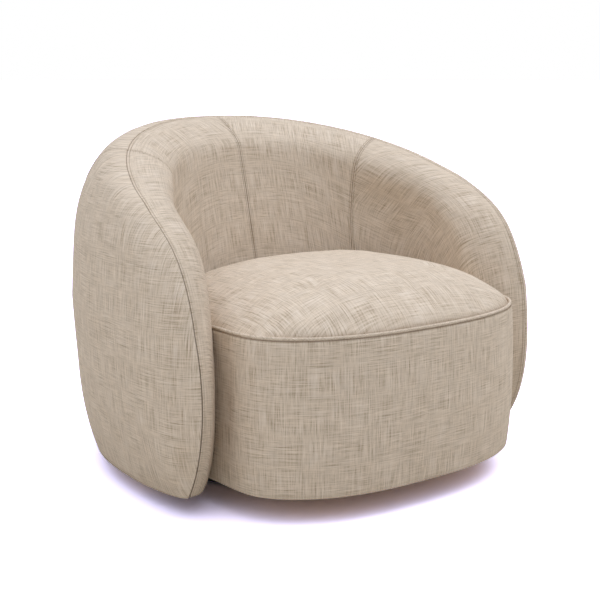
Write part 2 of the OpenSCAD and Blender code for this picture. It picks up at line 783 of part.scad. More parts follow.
// Ribs stand on the board, notched for the rails, and carry the top rail and the straps
rib_shares = [0.03, 0.11, 0.19, 0.27];
notch_gap = timber_gap / 2;
strap_gap = timber_gap * 0.65;
rib_low = board_top + rail_h + notch_gap;
rib_middle = middle_rail_z - run_gap;
rib_high = middle_rail_z + rail_h + notch_gap;

function rib_levels(s) =
    let (head = mix(ridge(s)[1], skirt_z, rail_low_share) - lining_gap)
    [[head, 0], [rib_high + notch_gap, 0], [rib_high, rail_t], [rib_middle, rail_t],
     [rib_middle - notch_gap, 0], [rib_low + notch_gap, 0], [rib_low, rail_t], [board_top, rail_t]];
function rib_front(s, z) =
    let (r = ridge(s)[1], v = min(1, (r - z) / (r - inner_foot(s))),
         p = inner_sunk(s, v, strap_gap + strap_t + run_gap))
    [p[0], p[1], z];
function rib_back(s, level) =
    inward(outer_sunk(s, share_down(s, level[0]), timber_gap), level[1] > 0 ? rail_t + notch_gap : 0);
function rib_side(s) = [[for (l = rib_levels(s)) rib_back(s, l)], [for (l = rib_levels(s)) rib_front(s, l[0])]];

module back_ribs() {
    color([0.8, 0.66, 0.46]) for (s = rib_shares, side = [0, 1])
        mirror([side, 0, 0]) sheet(rib_side(s - rib_width_share), rib_side(s + rib_width_share));
}

// Elastic straps across the ribs behind the inner back
strap_shares = [0.4, 0.62, 0.84];
strap_w_share = 0.1;

module back_straps() {
    color([0.2, 0.2, 0.22]) for (v = strap_shares) {
        edges = [v, v + strap_w_share];
        face = [for (s = back_nodes()) [for (w = edges) inner_sunk(s, w, strap_gap)]];
        rear = [for (s = back_nodes()) [for (w = edges) inner_sunk(s, w, strap_gap + strap_t)]];
        turned = [for (i = [back_cols:-1:1]) i];
        sheet(concat([for (i = turned) half(face[i])], face), concat([for (i = turned) half(rear[i])], rear));
    }
}

plinth();
floor_glides();
lower_swivel_plate();
lower_plate_screws();
pivot_bolt();
pivot_washer();
pivot_nut();
ball_cage();
bearing_balls();
upper_swivel_plate();
upper_plate_bolts();
base_board();
lower_rail();
middle_rail();
top_rail_left();
top_rail_right();
back_ribs();
arm_frame_left();
arm_frame_right();
arm_ribs_left();
arm_ribs_right();
front_panel();
seat_posts();
seat_ring();
seat_springs();
spring_clips();
spring_felt();
seat_foam();
seat_crown();
seat_welt();
seat_band();
back_straps();
inner_back_left();
inner_back_right();
inner_arm_left();
inner_arm_right();
outer_back();
outer_arm_left();
outer_arm_right();
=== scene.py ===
import json
from functools import lru_cache
from math import atan2, cos, degrees, exp, pi, radians, sin, sqrt

import bmesh
import bpy
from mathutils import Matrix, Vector, noise


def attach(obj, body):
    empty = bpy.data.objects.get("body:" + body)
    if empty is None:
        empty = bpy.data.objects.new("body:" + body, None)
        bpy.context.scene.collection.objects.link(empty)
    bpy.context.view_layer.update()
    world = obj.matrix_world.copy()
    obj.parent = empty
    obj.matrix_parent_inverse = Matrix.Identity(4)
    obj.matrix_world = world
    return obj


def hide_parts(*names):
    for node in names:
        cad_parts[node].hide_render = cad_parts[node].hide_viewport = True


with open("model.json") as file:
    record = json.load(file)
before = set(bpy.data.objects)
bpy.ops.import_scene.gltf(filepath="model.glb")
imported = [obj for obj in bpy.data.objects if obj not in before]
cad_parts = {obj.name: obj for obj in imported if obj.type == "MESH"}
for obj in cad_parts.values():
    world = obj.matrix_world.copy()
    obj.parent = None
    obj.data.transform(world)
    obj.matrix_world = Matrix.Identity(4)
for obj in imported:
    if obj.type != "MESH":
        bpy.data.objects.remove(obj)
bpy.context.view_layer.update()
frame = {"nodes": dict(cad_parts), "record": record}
print("frame loaded")

# the photograph's view: in front of the left arm, a little above the seat
camera = {
    "target": (-0.1431, -0.2335, 0.3715),
    "azimuth": -37.43,  # degrees round the chair
    "elevation": 10.81,
    "distance": 2.3012,
    "lens": 74.1,
    "sensor": 36,
}


def placeCamera():
    azimuth, elevation = radians(camera["azimuth"]), radians(camera["elevation"])
    back = Vector((sin(azimuth) * cos(elevation), -cos(azimuth) * cos(elevation), sin(elevation)))
    data = bpy.data.cameras.new("photoView")
    data.lens = camera["lens"]
    data.sensor_width = camera["sensor"]
    item = bpy.data.objects.new("photoView", data)
    item.location = Vector(camera["target"]) + back * camera["distance"]
    item.rotation_euler = back.to_track_quat("Z", "Y").to_euler()
    bpy.context.scene.collection.objects.link(item)
    bpy.context.scene.camera = item


placeCamera()

mm = 0.001

# the upholstered shell in millimetres, close to the solids of the construction
shell = {
    "width": 920,
    "depth": 891,
    "height": 690,
    "tip": 46,  # height at which the top seam ends, in front
    "sag": 36,  # lowest height of the padded hem
    "sagStart": 0.86,
    "reachBack": 536,  # from the middle of the barrel to its seam, behind and in front
    "reachFront": 480,
    "belly": 344,  # height at which the barrel is widest
    "lean": 37,  # how far the top hangs back
    "leanPower": 6.2,
    "puffBack": 20,  # how far the outer cover swells out beyond its seam
    "puffArm": 30,
    "puffBlend": 0.35,  # place along the seam where the swelling is the arms'
    "puffReach": 70,
    "puffShape": 0.75,
    "puffShare": 0.8,  # share of the swelling that the overall width counts
    "hemPuff": 0.95,  # share of the swelling that is gone at the hem
    "arm": 132,  # thickness of the arms
    "rollBack": 66,  # depth of the padded roll inside the top seam
    "rollArm": 30,
    "deck": 530,  # depth of the seat up to the lining
    "innerBack": 182,
    "innerFront": 300,
    "rake": 97,
    "rakeStart": 300,
    "plan": 2.15,  # roundness of the plan: 2 is an ellipse
    "innerPlan": 2.07,
    "foot": 0.077,  # how much the barrel draws in at its foot and its head
    "footPower": 4.4,
    "head": 0.315,
    "headPower": 4.56,
    "taper": 0.083,
    "flare": -0.06,
    "tuck": 228,  # height at which the inner back goes down behind the seat
    "board": 63.5,
    "sideSeam": 0.264,  # place of the side seams along the top seam
    "footAngle": 106.9,
    "outerFan": 0.64,  # how the threads of each cover fan out to the foot
    "innerFan": 0.7,
    "outerTurn": 8,
    "innerTurn": 3,
    "armFront": 0.75,  # where the inner arms come out in front of the seat
    "armTip": 0.988,
    "outerTip": 0.998,  # where the outer arms end
}
seat = {
    "half": 342,  # half width of the rounded front, if the arms did not stop it
    "front": 249,
    "plan": 2.61,
    "middle": -196.5,
    "welt": 339,
    "crown": 78,  # before the cloth simulation fills it out
    "crownReach": 350,
    "crownPower": 4.8,
    "crownCorner": 12,  # sharpness of the corner between front and arm
    "weltSize": 8,
    "gap": 2,
    "hem": 49,
    "tuck": 2,
    "puff": 6,
    "band": 14,
}
# the top seam: degrees round the barrel, share of the height
topSeam = [(0, 1), (29.3, 1), (71.3, 0.944), (97.2, 0.76), (110.8, 0.635), (115.3, 0.156), (106.9, 0)]

halfWidth = shell["width"] / 2 - shell["puffArm"] * shell["puffShare"]
innerHalf = shell["width"] / 2 - shell["arm"]
seatHalf = innerHalf - seat["gap"]
seatY = seat["middle"]
innerY = shell["deck"] - shell["innerBack"] - shell["depth"] / 2


def signed(value, power):
    return abs(value) ** power * (1 if value > 0 else -1 if value < 0 else 0)


def mix(a, b, share):
    return a * (1 - share) + b * share


def smooth(value):
    c = min(1, max(0, value))
    return c * c * (3 - 2 * c)


def ease(value, power):
    return 1 - (1 - value) ** power


def swell(z):
    low = max(0, (shell["belly"] - z) / shell["belly"])
    high = max(0, (z - shell["belly"]) / (shell["height"] - shell["belly"]))
    footDraw, headDraw = shell["foot"] * low ** shell["footPower"], shell["head"] * high ** shell["headPower"]
    return 1 - footDraw - headDraw - shell["taper"] * high


def leanAt(z):
    return shell["lean"] * (z / shell["height"]) ** shell["leanPower"]


def backReach(share):
    z = shell["height"] * share
    return shell["reachBack"] * swell(z) + leanAt(z) + shell["puffBack"] * share


backSteps = 40
barrelY = shell["depth"] / 2 - max(backReach(i / backSteps) for i in range(backSteps + 1))


def barrel(angle, z):
    power = 2 / shell["plan"]
    c, s = cos(radians(angle)), sin(radians(angle))
    reach = shell["reachBack"] if c > 0 else shell["reachFront"]
    x, y = halfWidth * swell(z) * signed(s, power), barrelY + reach * swell(z) * signed(c, power) + leanAt(z)
    return Vector((x, y, z))


# the top seam is one smooth cubic spline through few points
def knot(i):
    return min(1, max(0, (i - 3) / (len(topSeam) - 3)))


def part(a, b):
    return a / b if b > 0 else 0


def weight(i, k, t):
    if k == 0:
        return 1 if knot(i) <= t < knot(i + 1) else 0
    return part(t - knot(i), knot(i + k) - knot(i)) * weight(i, k - 1, t) + part(
        knot(i + k + 1) - t, knot(i + k + 1) - knot(i + 1)
    ) * weight(i + 1, k - 1, t)


@lru_cache(maxsize=None)
def ridge(s):
    t = min(s, 1 - 1e-9)
    weights = [weight(i, 3, t) for i in range(len(topSeam))]
    angle = sum(p[0] * w for p, w in zip(topSeam, weights))
    height = sum(p[1] * w for p, w in zip(topSeam, weights))
    return angle, mix(shell["tip"], shell["height"], height)


def rise(z):
    return max(0, (z - shell["rakeStart"]) / (shell["height"] - shell["rakeStart"]))


def hug(angle):
    # in front of its middle the lining follows the rounded seat
    y = innerY + shell["innerFront"] * signed(cos(radians(angle)), 2 / shell["innerPlan"])
    d = min(1, max(0, seatY - y) / seat["front"])
    side = seat["half"] * (1 - d ** seat["plan"]) ** (1 / seat["plan"]) + seat["gap"]
    return blunt(side / innerHalf)


def blunt(share, sharpness=40):
    # no more than 1, with a soft turn
    return share / (1 + share**sharpness) ** (1 / sharpness)


def hemAt(s):
    # the hem hangs a little below the end of the seam, and turns up to it in a round corner
    t = max(0, (s - shell["sagStart"]) / (1 - shell["sagStart"]))
    return mix(shell["tip"], shell["sag"], sqrt(max(0, 1 - t * t)))


def lining(angle, z):
    power = 2 / shell["innerPlan"]
    c, s = cos(radians(angle)), sin(radians(angle))
    reach = shell["innerBack"] if c > 0 else shell["innerFront"]
    side = signed(s, power) if c > 0 else hug(angle)
    return Vector(
        (
            innerHalf * (1 + shell["flare"] * rise(z)) * side,
            innerY + reach * signed(c, power) + shell["rake"] * rise(z) * max(0, c),
            z,
        )
    )


def liningAngle(p):
    x = p.x / innerHalf
    y = p.y - innerY
    q = y / (shell["innerBack"] + shell["rake"] * rise(p.z) if y > 0 else shell["innerFront"])
    return degrees(atan2(signed(x, shell["innerPlan"] / 2), signed(q, shell["innerPlan"] / 2)))


def innerFoot(s):
    deep = mix(shell["tuck"], shell["board"], smooth((s - shell["sideSeam"]) / shell["sideSeam"]))
    return mix(deep, hemAt(s), smooth((s - shell["armFront"]) / (shell["armTip"] - shell["armFront"]) * 2))


def barrelOut(angle, z):
    across = barrel(angle + 1, z) - barrel(angle - 1, z)
    out = (barrel(angle, z + 1) - barrel(angle, z - 1)).cross(across).normalized()
    return Vector((out.x, out.y, max(0, out.z)))


def outerAt(s, v):
    seamAngle, seamZ = ridge(s)
    angle = mix(seamAngle, shell["footAngle"] * s ** shell["outerFan"], ease(v, shell["outerTurn"]))
    z = mix(seamZ, hemAt(s), v)
    p = barrel(angle, z)
    d = min(1, (p - barrel(seamAngle, seamZ)).length / shell["puffReach"])
    puff = mix(shell["puffBack"], shell["puffArm"], min(1, s / shell["puffBlend"])) * (1 - shell["hemPuff"] * v)
    return p + barrelOut(angle, z) * puff * (1 - (1 - d) ** 2) ** shell["puffShape"]


@lru_cache(maxsize=None)
def liningTop(s):
    return liningAngle(barrel(*ridge(s)))


def liningAt(s, v):
    z = ridge(s)[1]
    angle = mix(liningTop(s), shell["footAngle"] * s ** shell["innerFan"], ease(v, shell["innerTurn"]))
    return lining(angle, mix(z, min(innerFoot(s), z), v))


def innerAt(s, v):
    p = liningAt(s, v)
    depth = mix(shell["rollBack"], shell["rollArm"], s)
    d = min(1, (p - liningAt(s, 0)).length / depth)
    return barrel(ridge(s)[0], p.z).lerp(p, sqrt(1 - (1 - d) ** 2))


# how the sewn edges sit, in millimetres
sewing = {
    "ditch": 1.4,  # depth of the top seam
    "flatDitch": 1.2,  # depth of the seams that join two flat panels
    "lip": 1.5,  # width of one lip of a ditch
    "stitch": 5.3,  # distance of the topstitching from the top seam
    "flatStitch": 4.2,
    "groove": 0.9,  # depth of the line that the stitches press in
    "grooveWidth": 0.75,
    "bead": 0.3,  # the cloth between ditch and stitches stands up a little
    "beadPlace": 3.2,
    "shade": 0.75,  # width of the painted shade inside a ditch
    "stitchShade": 0.8,  # darkness of the stitches beside that of the ditch: their thread, with painted shade of their groove
    "pucker": 0.3,
    "puckerWaves": (9, 4),
    "puckerReach": 16,
    "wave": 1.1,  # slack of the cloth over the padding
    "waveLength": 95,
    "waveStart": 60,
    "shortPanel": 70,  # below this length the loops beside a seam move together
}
# distances from a seam at which a panel has an edge loop
nearSeam = [0, 0.5, 1, 1.6, 2.4, 3.4, 4.1, 4.7, 5.3, 5.9, 6.5, 7.4, 8.8, 11, 14]


def spacing(length, count, far=False):
    # loops close to the seam, then even ones; far adds the same at the other end
    squeeze = min(1, length / sewing["shortPanel"])
    near = [d * squeeze for d in nearSeam]
    ends = near[-1] * (2 if far else 1)
    middle = [near[-1] + (length - ends) * i / count for i in range(1, count if far else count + 1)]
    return near + middle + ([length - d for d in reversed(near)] if far else [])


def walk(line, distances):
    # shares along a sampled line at the given distances
    reached = [0]
    for a, b in zip(line, line[1:]):
        reached.append(reached[-1] + (b - a).length)
    shares, k = [], 0
    for d in distances:
        while k < len(line) - 2 and reached[k + 1] < d:
            k += 1
        shares.append((k + min(1, part(d - reached[k], reached[k + 1] - reached[k]))) / (len(line) - 1))
    return shares


def lengthOf(line):
    return sum((b - a).length for a, b in zip(line, line[1:]))


def columnShares(start, end, count, sewnStart, sewnEnd):
    steps = 240
    line = [barrel(*ridge(mix(start, end, i / steps))) for i in range(steps + 1)]
    total = lengthOf(line)
    if sewnStart and sewnEnd:
        distances = spacing(total, count, far=True)
    elif sewnEnd:
        distances = [total - d for d in reversed(spacing(total, count))]
    else:
        distances = spacing(total, count)
    return [mix(start, end, share) for share in walk(line, distances)]


def dip(distance, depth):
    return depth * max(0, 1 - distance / sewing["lip"]) ** 1.5


def pressed(distance, place):
    return sewing["groove"] * exp(-(((distance - place) / sewing["grooveWidth"]) ** 2))


def paintedSeamShadeAndStitches(distance, stitch):
    # painted shade at the bottom of a ditch, and a darker line along its stitches, partly their thread and
    # partly painted shade of their groove
    seam = exp(-((distance / sewing["shade"]) ** 2))
    if not stitch:
        return seam
    return max(seam, sewing["stitchShade"] * exp(-(((distance - stitch) / sewing["grooveWidth"]) ** 2)))


def ripple(along, distance, seed):
    # small puckers that the seam's thread draws, fading into the panel
    long, short = sewing["puckerWaves"]
    wave = noise.noise(Vector((along / long, seed, 0))) + 0.5 * noise.noise(Vector((along / short, seed, 7)))
    return sewing["pucker"] * wave * exp(-distance / sewing["puckerReach"])


def gridMesh(columns, rows, place, cloth, seamShadeAndStitches=None):
    # a grid of the wanted loops, each vertex put in its place, with cloth lengths in metres as its UV map
    bm = bmesh.new()
    bmesh.ops.create_grid(bm, x_segments=columns - 1, y_segments=rows - 1, size=1)
    step = {}
    # each vertex's share of painted seam shade, and of thread colour along stitches
    dark = bm.verts.layers.float.new("seamShadeAndStitches")
    for v in bm.verts:
        i, j = round((v.co.x + 1) / 2 * (columns - 1)), round((v.co.y + 1) / 2 * (rows - 1))
        step[v] = (i, j)
        v.co = place(i, j) * mm
        v[dark] = seamShadeAndStitches(i, j) if seamShadeAndStitches else 0
    layer = bm.loops.layers.uv.new("cloth")
    for face in bm.faces:
        for loop in face.loops:
            u, w = cloth(*step[loop.vert])
            loop[layer].uv = (u * mm, w * mm)
    return bm


def finishPiece(bm, name, material, node, fill, thickness=0):
    mesh = bpy.data.meshes.new(name)
    bm.to_mesh(mesh)
    bm.free()
    for face in mesh.polygons:
        face.use_smooth = True
    item = bpy.data.objects.new(name, mesh)
    bpy.context.scene.collection.objects.link(item)
    mesh.materials.append(material)
    if thickness:
        wall = item.modifiers.new("padding", "SOLIDIFY")
        wall.thickness = thickness * mm
        wall.offset = -1
    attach(item, "chair")
    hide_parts(node)
    return item


def meanPull(s):
    # into the body of the shell, between both lips of the top seam
    top, near = barrel(*ridge(s)), 0.02
    down = (outerAt(s, near) - top).normalized()
    across = (innerAt(s, near) - top).normalized()
    return (down + across).normalized()


def flipped(p):
    return Vector((-p.x, p.y, p.z))


# where the inner pads are stuffed fuller: behind the seat's corners, and along the arms
cushioning = [
    {"lift": 20, "share": 0.34, "shareSpread": 0.1, "depth": 92, "depthSpread": 46},
    {"lift": 6, "share": 0.95, "shareSpread": 0.28, "depth": 30, "depthSpread": 24},
]
cutStep = (1310, 570)  # mm from one panel to the next where they were cut from the cloth


def fullness(s, top, spot):
    along = (s - spot["share"]) / spot["shareSpread"]
    return exp(-(along**2) - ((top - spot["depth"]) / spot["depthSpread"]) ** 2)


def surfaceAt(surface, s, v):
    p = surface(abs(s), v)
    return p if s >= 0 else flipped(p)


def panelPoints(spec):
    # the panel's loops, sampled closely beside the seam, where the surface turns sharply
    points, samples, closeness = [], 120, 3
    for s in spec["shares"]:
        line = [surfaceAt(spec["surface"], s, (i / samples) ** closeness) for i in range(samples + 1)]
        cuts = spacing(lengthOf(line), spec["rows"])
        points.append([surfaceAt(spec["surface"], s, v**closeness) for v in walk(line, cuts)])
    return points


def sewnPanel(name, spec, material, side=1):
    # one cloth panel: loops follow the seams, the cloth dips into them and swells beside the stitches
    shares, inner, seed = spec["shares"], spec["inner"], spec["seed"]
    points = panelPoints(spec)
    last, rows = len(shares) - 1, len(points[0])
    across = [[0] * rows for _ in shares]
    down = [[0] * rows for _ in shares]
    for i in range(len(shares)):
        for j in range(rows):
            across[i][j] = across[i - 1][j] + (points[i][j] - points[i - 1][j]).length if i else 0
            down[i][j] = down[i][j - 1] + (points[i][j] - points[i][j - 1]).length if j else 0

    def flatSeams(i, j):
        # distances from the panel's ends that are sewn to a neighbour
        ends = (spec["sewnStart"], across[i][j]), (spec["sewnEnd"], across[last][j] - across[i][j])
        return [distance for sewn, distance in ends if sewn]

    def liftAt(i, j, p):
        # how far the cloth stands out from the plain surface
        top = down[i][j]
        lift = sewing["bead"] * exp(-((top - sewing["beadPlace"]) ** 2)) + ripple(across[i][j], top, seed)
        if inner:
            lift -= pressed(top, sewing["stitch"])
            lift += sum(spot["lift"] * fullness(abs(shares[i]), top, spot) for spot in cushioning)
        for distance in flatSeams(i, j):
            lift -= dip(distance, sewing["flatDitch"]) + pressed(distance, sewing["flatStitch"])
            lift += ripple(top, distance, seed + 3)
        slack = sewing["wave"] * smooth(top / sewing["waveStart"])
        return lift + slack * noise.noise(p / sewing["waveLength"] + Vector((0, 0, seed)))

    placed = []
    for i, s in enumerate(shares):
        pull = meanPull(abs(s))
        pull = pull if s >= 0 else flipped(pull)
        column, before = [], -pull
        for j in range(rows):
            a = points[min(last, i + 1)][j] - points[max(0, i - 1)][j]
            b = points[i][min(rows - 1, j + 1)] - points[i][max(0, j - 1)]
            normal = a.cross(b)
            normal = normal.normalized() if normal.length > 1e-6 else -pull
            if normal.dot(before) < 0:
                normal = -normal
            before = normal
            p = points[i][j] + pull * dip(down[i][j], sewing["ditch"])
            column.append(p + normal * liftAt(i, j, p))
        placed.append(column)

    def place(i, j):
        p = placed[i][rows - 1 - j]
        return p if side > 0 else flipped(p)

    def cloth(i, j):
        k = rows - 1 - j
        u, w = spec["cloth"](points[i][k], across[i][k] - across[last // 2][k], down[i][k])
        return u + seed * cutStep[0], w + seed * cutStep[1]

    # painted shade in the ditches of the seams, and thread colour with painted shade along the stitches
    def seamShadeAndStitches(i, j):
        k = rows - 1 - j
        dark = paintedSeamShadeAndStitches(down[i][k], sewing["stitch"] if inner else None)
        return max([dark] + [paintedSeamShadeAndStitches(distance, sewing["flatStitch"]) for distance in flatSeams(i, k)])

    bm = gridMesh(len(shares), rows, place, cloth, seamShadeAndStitches)
    # an outward face: compare one with the way the panel faces
    bm.normal_update()
    middle = points[len(shares) // 2][rows // 2]
    facing = spec["facing"](middle)
    if side < 0:
        middle, facing = flipped(middle), flipped(facing)
    sample = min(bm.faces, key=lambda face: (face.calc_center_median() / mm - middle).length)
    if sample.normal.dot(facing) < 0:
        bmesh.ops.reverse_faces(bm, faces=bm.faces)
    finishPiece(bm, name, material, spec["node"], spec["fill"], spec["padding"])


armTipY = outerAt(shell["armTip"], 0).y


def outward(p):
    return Vector((p.x, p.y - barrelY, 0))


def towardsSitter(p):
    return Vector((-p.x, innerY - p.y, 0))


# the outer cloth hangs straight, with level and upright threads, and bends over the top of the back
outerThreads = {"radius": 440, "bendStart": 560, "bend": 0.25}


def outerCloth(p, across, down):
    angle = atan2(p.x, p.y - barrelY)
    return angle * outerThreads["radius"], p.z + outerThreads["bend"] * max(0, p.z - outerThreads["bendStart"])


def innerCloth(p, across, down):
    return across, down


def seatFront(inset, angle):
    # a rounded front, stopped at the sides by the arms
    power = 2 / seat["plan"]
    x, y = (seat["half"] - inset) * signed(sin(radians(angle)), power), signed(cos(radians(angle)), power)
    limit = seatHalf - inset
    x = limit * blunt(abs(x) / limit) * (1 if x > 0 else -1)
    return Vector((x, seatY - (seat["front"] - inset) * y, 0))


def seatRear(inset, angle):
    power = 2 / shell["innerPlan"]
    c, s = cos(radians(angle)), sin(radians(angle))
    reach = shell["innerBack"] - seat["gap"] - inset
    return Vector(((seatHalf - inset) * signed(s, power), innerY + reach * signed(c, power), 0))


def crownRise(p):
    reach = seat["front"] if p.y < seatY else seat["crownReach"]
    plan, corner = seat["plan"], seat["crownCorner"]
    r = ((abs(p.x) / seat["half"]) ** plan + (abs(p.y - seatY) / reach) ** plan) ** (1 / plan)
    r = (r**corner + (abs(p.x) / seatHalf) ** corner) ** (1 / corner)
    return seat["crown"] * (1 - min(1, r) ** seat["crownPower"])


def settle(item, held, spec):
    # the padding fills out the cover: a short cloth simulation under pressure, held at its seam
    item.vertex_groups.new(name="held").add(held, 1, "REPLACE")
    cloth = item.modifiers.new("settle", "CLOTH")
    cloth.settings.vertex_group_mass = "held"
    cloth.settings.use_pressure = True
    cloth.settings.uniform_pressure_force = spec["pressure"]
    cloth.settings.effector_weights.gravity = 0
    scene = bpy.context.scene
    for step in range(1, spec["steps"] + 1):
        scene.frame_set(step)
    shaped = item.evaluated_get(bpy.context.evaluated_depsgraph_get()).data
    moves = [p.co - v.co for p, v in zip(shaped.vertices, item.data.vertices)]
    item.modifiers.remove(cloth)
    item.vertex_groups.clear()
    scene.frame_set(1)
    # the result is kept in the mesh
    for v, move in zip(item.data.vertices, moves):
        v.co += move * min(1, spec["cap"] * mm / max(1e-9, move.length))
    print("settled", item.name, round(max(move.length for move in moves) / mm, 1), "mm at most before the cap")


crown = {
    "loops": 96,
    "rimLoops": 1.35,  # more than 1 draws the loops closer together at the rim
    "inset": 6.5,
    "roll": 9,  # width and depth of the turn into the welt's seam
    "under": 337,
    "slack": 1.4,
    "slackLength": 110,
    "slackStart": 50,
    "pucker": 0.5,
    "puckerTurns": 22,
    "puckerReach": 22,
    "shade": 0.5,
    "shadeReach": 2,
    "pressure": 2,
    "steps": 20,
    "cap": 6,  # no point moves further in the simulation
}


def crownRays():
    # distances from the seat's middle to its outline, all the way round
    middle = Vector((0, (seatY + innerY) / 2, 0))
    outline = [seatFront(crown["inset"], a) for a in range(-90, 91)]
    outline += [seatRear(crown["inset"], 90 - a) for a in range(0, 181)]
    rays = sorted((atan2(p.y - middle.y, p.x - middle.x), (p - middle).length) for p in outline)
    return middle, [(rays[-1][0] - 2 * pi, rays[-1][1])] + rays + [(rays[0][0] + 2 * pi, rays[0][1])]


def reachAt(rays, angle):
    for (a, r), (b, q) in zip(rays, rays[1:]):
        if a <= angle <= b:
            if b - a <= 1e-6:
                return r
            # straight between two outline points
            return r * q * sin(max(1e-9, b - a)) / max(1e-9, r * sin(angle - a) + q * sin(b - angle))
    return rays[0][1]


def buildCrown(material):
    # a square grid drawn out to the seat's plan, so the threads stay straight across the seat
    middle, rays = crownRays()
    bm = bmesh.new()
    bmesh.ops.create_grid(bm, x_segments=crown["loops"], y_segments=crown["loops"], size=1)
    layer = bm.loops.layers.uv.new("cloth")
    dark = bm.verts.layers.float.new("seamShadeAndStitches")
    for v in bm.verts:
        x, y = v.co.x, v.co.y
        share = 1 - (1 - max(abs(x), abs(y))) ** crown["rimLoops"]
        angle = atan2(y, x)
        reach = reachAt(rays, angle)
        p = middle + Vector((cos(angle), sin(angle), 0)) * reach * share
        edge = reach * (1 - share)
        slack = crown["slack"] * smooth(edge / crown["slackStart"])
        pucker = crown["pucker"] * noise.noise(Vector((angle * crown["puckerTurns"], 3, 1)))
        p.z = seat["welt"] + crownRise(p) - crown["roll"] * max(0, 1 - edge / crown["roll"]) ** 2
        p.z += slack * noise.noise(Vector((p.x / crown["slackLength"], p.y / crown["slackLength"], 4)))
        p.z += pucker * exp(-edge / crown["puckerReach"])
        v.co = p * mm
        # painted shade along the crown's rim, beside the welt's seam; the same values mark the seam that the
        # simulation holds
        v[dark] = crown["shade"] * exp(-((edge / crown["shadeReach"]) ** 2))
    for face in bm.faces:
        for loop in face.loops:
            loop[layer].uv = (loop.vert.co.x, loop.vert.co.y)
    made = bmesh.ops.extrude_face_region(bm, geom=list(bm.faces), use_keep_orig=True)
    for v in (g for g in made["geom"] if isinstance(g, bmesh.types.BMVert)):
        v.co.z = crown["under"] * mm
    bmesh.ops.recalc_face_normals(bm, faces=bm.faces)
    # the extrusion's order changes from run to run, and the simulation would follow it
    bm.verts.index_update()
    count = len(bm.verts)
    for run in (bm.edges, bm.faces):
        run.sort(key=lambda e: min(v.index for v in e.verts) * count + max(v.index for v in e.verts))
    item = finishPiece(bm, "seatCrown", material, "seat_crown", 0.95)
    sewn = item.data.attributes["seamShadeAndStitches"].data
    low = (crown["under"] + 1) * mm
    settle(item, [v.index for v in item.data.vertices if sewn[v.index].value > 0.01 or v.co.z < low], crown)


band = {
    "columns": 190,
    "rows": 34,
    "straight": 8,  # points along each side, inside the arm
    "padding": 9,
    "slack": 1.0,
    "slackWide": 120,
    "slackHigh": 90,
    "slackStart": 30,
    "pucker": 0.45,
    "puckerLength": 10,
    "puckerReach": 18,
    "cloth": (4000, 2000),  # mm, where the band was cut from the cloth
    # height over the top edge and inset: out of the welt's seam
    "head": [(4, 6), (1.5, 3.2), (-0.5, 1.4), (-2.5, 0.6), (-5, 0.2)],
    # height over the hem and inset: a row of stitches, then round the hem and under
    "foot": [(7, 0.1), (5.6, 0.9), (4, 0.5), (2, 0.4), (0.6, 1.6), (0, 4), (0, 12)],
    "footStart": 9,
    "shadeStart": 0.5,  # painted shade under the welt is darkest this far below the top edge
}


def bandDraw(z, clear):
    # in towards the hem, and out between welt and hem where the arms leave room
    t = max(0, (seat["welt"] - z) / (seat["welt"] - seat["hem"]))
    return seat["tuck"] * t**6 - seat["puff"] * clear * 4 * t * (1 - t)


def sideRun(inset, count):
    # along the band: from inside the left arm round the front to the right arm
    n, start = band["straight"], innerY - seat["band"]
    straight = [Vector((inset - seatHalf, start + (seatY - start) * i / n, 0)) for i in range(n)]
    front = [seatFront(inset, angle) for angle in range(-90, 91)]
    line = straight + front + [flipped(p) for p in reversed(straight)]
    total = lengthOf(line)
    out = []
    for share in walk(line, [total * i / (count - 1) for i in range(count)]):
        k = min(len(line) - 2, int(share * (len(line) - 1)))
        out.append(line[k].lerp(line[k + 1], share * (len(line) - 1) - k))
    return out


def buildBand(material):
    top, hem, last = seat["welt"] - seat["weltSize"] / 2, seat["hem"], band["columns"] - 1
    upper, lower = top + band["head"][-1][0], hem + band["footStart"]
    profile = [(top + z, inset) for z, inset in band["head"]]
    profile += [(mix(upper, lower, i / band["rows"]), 0) for i in range(1, band["rows"] + 1)]
    profile += [(hem + z, inset) for z, inset in band["foot"]]
    start = sideRun(0, band["columns"])
    clears = [smooth((armTipY - p.y) / shell["rollArm"]) for p in start]
    total, rows = lengthOf(start), len(profile)
    ways = []
    for i in range(band["columns"]):
        along = start[min(i + 1, last)] - start[max(0, i - 1)]
        ways.append(Vector((along.y, -along.x, 0)).normalized())

    def place(i, j):
        z, inset = profile[rows - 1 - j]
        p = start[i] - ways[i] * (bandDraw(z, clears[i]) + inset)
        p.z = z
        free = smooth((top - z) / band["slackStart"]) * smooth((z - hem) / band["slackStart"])
        wide, high = band["slackWide"], band["slackHigh"]
        p += ways[i] * (band["slack"] * free * noise.noise(Vector((p.x / wide, p.y / wide, z / high))))
        along = i / band["columns"] * total / band["puckerLength"]
        wave = band["pucker"] * noise.noise(Vector((along, 5, 2)))
        return p + ways[i] * wave * exp(-max(0, top - z) / band["puckerReach"])

    def cloth(i, j):
        return total * (i / last - 0.5) + band["cloth"][0], profile[rows - 1 - j][0] + band["cloth"][1]

    # painted shade along the top of the band, under the welt
    def seamShadeAndStitches(i, j):
        return paintedSeamShadeAndStitches(max(0, top - band["shadeStart"] - profile[rows - 1 - j][0]), None)

    bm = gridMesh(band["columns"], rows, place, cloth, seamShadeAndStitches)
    bm.normal_update()
    front = min(bm.faces, key=lambda face: face.calc_center_median().y + abs(face.calc_center_median().x))
    if front.normal.y > 0:
        bmesh.ops.reverse_faces(bm, faces=bm.faces)
    finishPiece(bm, "seatBand", material, "seat_band", 0.9, band["padding"])


welt = {
    "radius": 3.1,
    "inset": 3.6,
    "points": 260,
    "sides": 14,
    "lump": 0.22,
    "lumpLength": 5,
    "wander": 0.35,
    "wanderLength": 16,
    "cloth": 6000,  # mm, where the strip was cut from the cloth, on the bias
    "along": 4.2,
    "around": 1.6,
}


